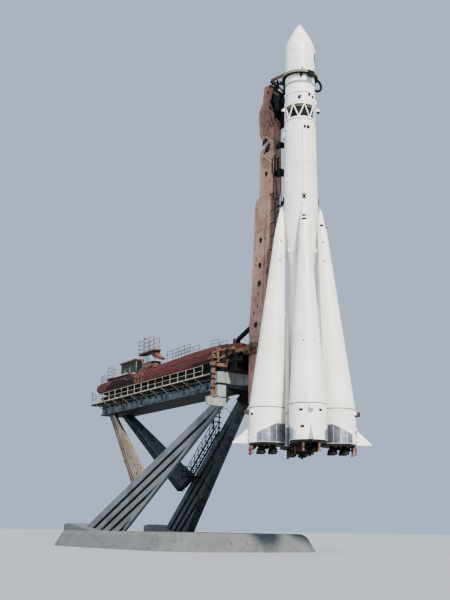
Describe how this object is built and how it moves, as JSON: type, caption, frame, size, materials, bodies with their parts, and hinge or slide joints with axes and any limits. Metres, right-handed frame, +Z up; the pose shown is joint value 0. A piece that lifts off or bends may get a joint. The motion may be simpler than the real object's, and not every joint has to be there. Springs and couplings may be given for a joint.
{
  "type": "space rocket on its erector, 1:2 scale model",
  "caption": "White two-and-a-half-stage space rocket with four tapering strap-on boosters, held by an erector boom on a raised wagon over a concrete mound, half-size model.",
  "frame": {"origin": "middle of the concrete mound's underside, on the floor; the rocket's axis stands at x = 10.25 m", "axes": "+Z up along the rocket's axis, +X from the wagon towards the rocket, +Y to the side away from the viewer"},
  "size_m": [21.5396, 8.6, 23.03],
  "materials": {
    "white_paint": "satin",
    "engine_metal": "matte",
    "copper_metal": "satin",
    "boom_paint": "matte",
    "brown_paint": "matte",
    "black_paint": "satin",
    "hull_paint": "matte",
    "slate_paint": "matte",
    "pale_paint": "matte",
    "light_paint": "matte",
    "green_paint": "matte",
    "concrete": "matte"
  },
  "bodies": {
    "rocket_on_stand": {"access_stair": "slate_paint", "boom_head": "boom_paint", "boom_lower": "boom_paint", "boom_ram": "black_paint", "boom_upper": "boom_paint", "booster_1_engine": "engine_metal", "booster_1_tail": "white_paint", "booster_1_tanks": "white_paint", "booster_2_engine": "engine_metal", "booster_2_tail": "white_paint", "booster_2_tanks": "white_paint", "booster_3_engine": "engine_metal", "booster_3_tail": "white_paint", "booster_3_tanks": "white_paint", "booster_4_engine": "engine_metal", "booster_4_tail": "white_paint", "booster_4_tanks": "white_paint", "cabin": "green_paint", "cabin_deck": "pale_paint", "clamp_arms": "brown_paint", "concrete_mound": "concrete", "core_engine": "engine_metal", "core_stage": "white_paint", "core_tail": "white_paint", "crosshead": "light_paint", "girder": "slate_paint", "hinge_carriage": "boom_paint", "hinge_frame": "black_paint", "interstage_truss": "white_paint", "leg_left_far": "slate_paint", "leg_left_near": "slate_paint", "leg_right_far": "slate_paint", "leg_right_near": "slate_paint", "payload_fairing": "white_paint", "portal": "slate_paint", "service_deck": "boom_paint", "third_stage": "white_paint", "third_stage_engine": "engine_metal", "wagon_hull": "hull_paint", "walkway": "pale_paint"},
    "booster_1_steering_chamber_1_body": {"booster_1_steering_chamber_1": "copper_metal"},
    "booster_1_steering_chamber_2_body": {"booster_1_steering_chamber_2": "copper_metal"},
    "booster_1_air_rudder_body": {"booster_1_air_rudder": "white_paint"},
    "core_steering_chamber_1_body": {"core_steering_chamber_1": "copper_metal"},
    "booster_2_steering_chamber_1_body": {"booster_2_steering_chamber_1": "copper_metal"},
    "booster_2_steering_chamber_2_body": {"booster_2_steering_chamber_2": "copper_metal"},
    "booster_2_air_rudder_body": {"booster_2_air_rudder": "white_paint"},
    "core_steering_chamber_2_body": {"core_steering_chamber_2": "copper_metal"},
    "booster_3_steering_chamber_1_body": {"booster_3_steering_chamber_1": "copper_metal"},
    "booster_3_steering_chamber_2_body": {"booster_3_steering_chamber_2": "copper_metal"},
    "booster_3_air_rudder_body": {"booster_3_air_rudder": "white_paint"},
    "core_steering_chamber_3_body": {"core_steering_chamber_3": "copper_metal"},
    "booster_4_steering_chamber_1_body": {"booster_4_steering_chamber_1": "copper_metal"},
    "booster_4_steering_chamber_2_body": {"booster_4_steering_chamber_2": "copper_metal"},
    "booster_4_air_rudder_body": {"booster_4_air_rudder": "white_paint"},
    "core_steering_chamber_4_body": {"core_steering_chamber_4": "copper_metal"}
  },
  "joints": [
    {"name": "booster_1_steering_chamber_1_swivel", "type": "hinge", "parent": "rocket_on_stand", "child": "booster_1_steering_chamber_1_body", "pos_m": [11.49815, 1.69776, 4.06], "axis": [0.4695, 0.8829, 0], "range_deg": [-45, 45]},
    {"name": "booster_1_steering_chamber_2_swivel", "type": "hinge", "parent": "rocket_on_stand", "child": "booster_1_steering_chamber_2_body", "pos_m": [10.95955, 1.98413, 4.06], "axis": [0.4695, 0.8829, 0], "range_deg": [-45, 45]},
    {"name": "booster_1_air_rudder_turn", "type": "hinge", "parent": "rocket_on_stand", "child": "booster_1_air_rudder_body", "pos_m": [11.28988, 1.95573, 4.45], "axis": [0.4695, 0.8829, 0], "range_deg": [-20, 20]},
    {"name": "core_steering_chamber_1_swivel", "type": "hinge", "parent": "rocket_on_stand", "child": "core_steering_chamber_1_body", "pos_m": [10.10674, 0.46859, 4.06], "axis": [-0.2924, 0.9563, 0], "range_deg": [-45, 45]},
    {"name": "booster_2_steering_chamber_1_swivel", "type": "hinge", "parent": "rocket_on_stand", "child": "booster_2_steering_chamber_1_body", "pos_m": [8.55224, 1.24815, 4.06], "axis": [-0.8829, 0.4695, 0], "range_deg": [-45, 45]},
    {"name": "booster_2_steering_chamber_2_swivel", "type": "hinge", "parent": "rocket_on_stand", "child": "booster_2_steering_chamber_2_body", "pos_m": [8.26587, 0.70955, 4.06], "axis": [-0.8829, 0.4695, 0], "range_deg": [-45, 45]},
    {"name": "booster_2_air_rudder_turn", "type": "hinge", "parent": "rocket_on_stand", "child": "booster_2_air_rudder_body", "pos_m": [8.29427, 1.03988, 4.45], "axis": [-0.8829, 0.4695, 0], "range_deg": [-20, 20]},
    {"name": "core_steering_chamber_2_swivel", "type": "hinge", "parent": "rocket_on_stand", "child": "core_steering_chamber_2_body", "pos_m": [9.78141, -0.14326, 4.06], "axis": [-0.9563, -0.2924, 0], "range_deg": [-45, 45]},
    {"name": "booster_3_steering_chamber_1_swivel", "type": "hinge", "parent": "rocket_on_stand", "child": "booster_3_steering_chamber_1_body", "pos_m": [9.00185, -1.69776, 4.06], "axis": [-0.4695, -0.8829, 0], "range_deg": [-45, 45]},
    {"name": "booster_3_steering_chamber_2_swivel", "type": "hinge", "parent": "rocket_on_stand", "child": "booster_3_steering_chamber_2_body", "pos_m": [9.54045, -1.98413, 4.06], "axis": [-0.4695, -0.8829, 0], "range_deg": [-45, 45]},
    {"name": "booster_3_air_rudder_turn", "type": "hinge", "parent": "rocket_on_stand", "child": "booster_3_air_rudder_body", "pos_m": [9.21012, -1.95573, 4.45], "axis": [-0.4695, -0.8829, 0], "range_deg": [-20, 20]},
    {"name": "core_steering_chamber_3_swivel", "type": "hinge", "parent": "rocket_on_stand", "child": "core_steering_chamber_3_body", "pos_m": [10.39326, -0.46859, 4.06], "axis": [0.2924, -0.9563, 0], "range_deg": [-45, 45]},
    {"name": "booster_4_steering_chamber_1_swivel", "type": "hinge", "parent": "rocket_on_stand", "child": "booster_4_steering_chamber_1_body", "pos_m": [11.94776, -1.24815, 4.06], "axis": [0.8829, -0.4695, 0], "range_deg": [-45, 45]},
    {"name": "booster_4_steering_chamber_2_swivel", "type": "hinge", "parent": "rocket_on_stand", "child": "booster_4_steering_chamber_2_body", "pos_m": [12.23413, -0.70955, 4.06], "axis": [0.8829, -0.4695, 0], "range_deg": [-45, 45]},
    {"name": "booster_4_air_rudder_turn", "type": "hinge", "parent": "rocket_on_stand", "child": "booster_4_air_rudder_body", "pos_m": [12.20573, -1.03988, 4.45], "axis": [0.8829, -0.4695, 0], "range_deg": [-20, 20]},
    {"name": "core_steering_chamber_4_swivel", "type": "hinge", "parent": "rocket_on_stand", "child": "core_steering_chamber_4_body", "pos_m": [10.71859, 0.14326, 4.06], "axis": [0.9563, 0.2924, 0], "range_deg": [-45, 45]}
  ]
}
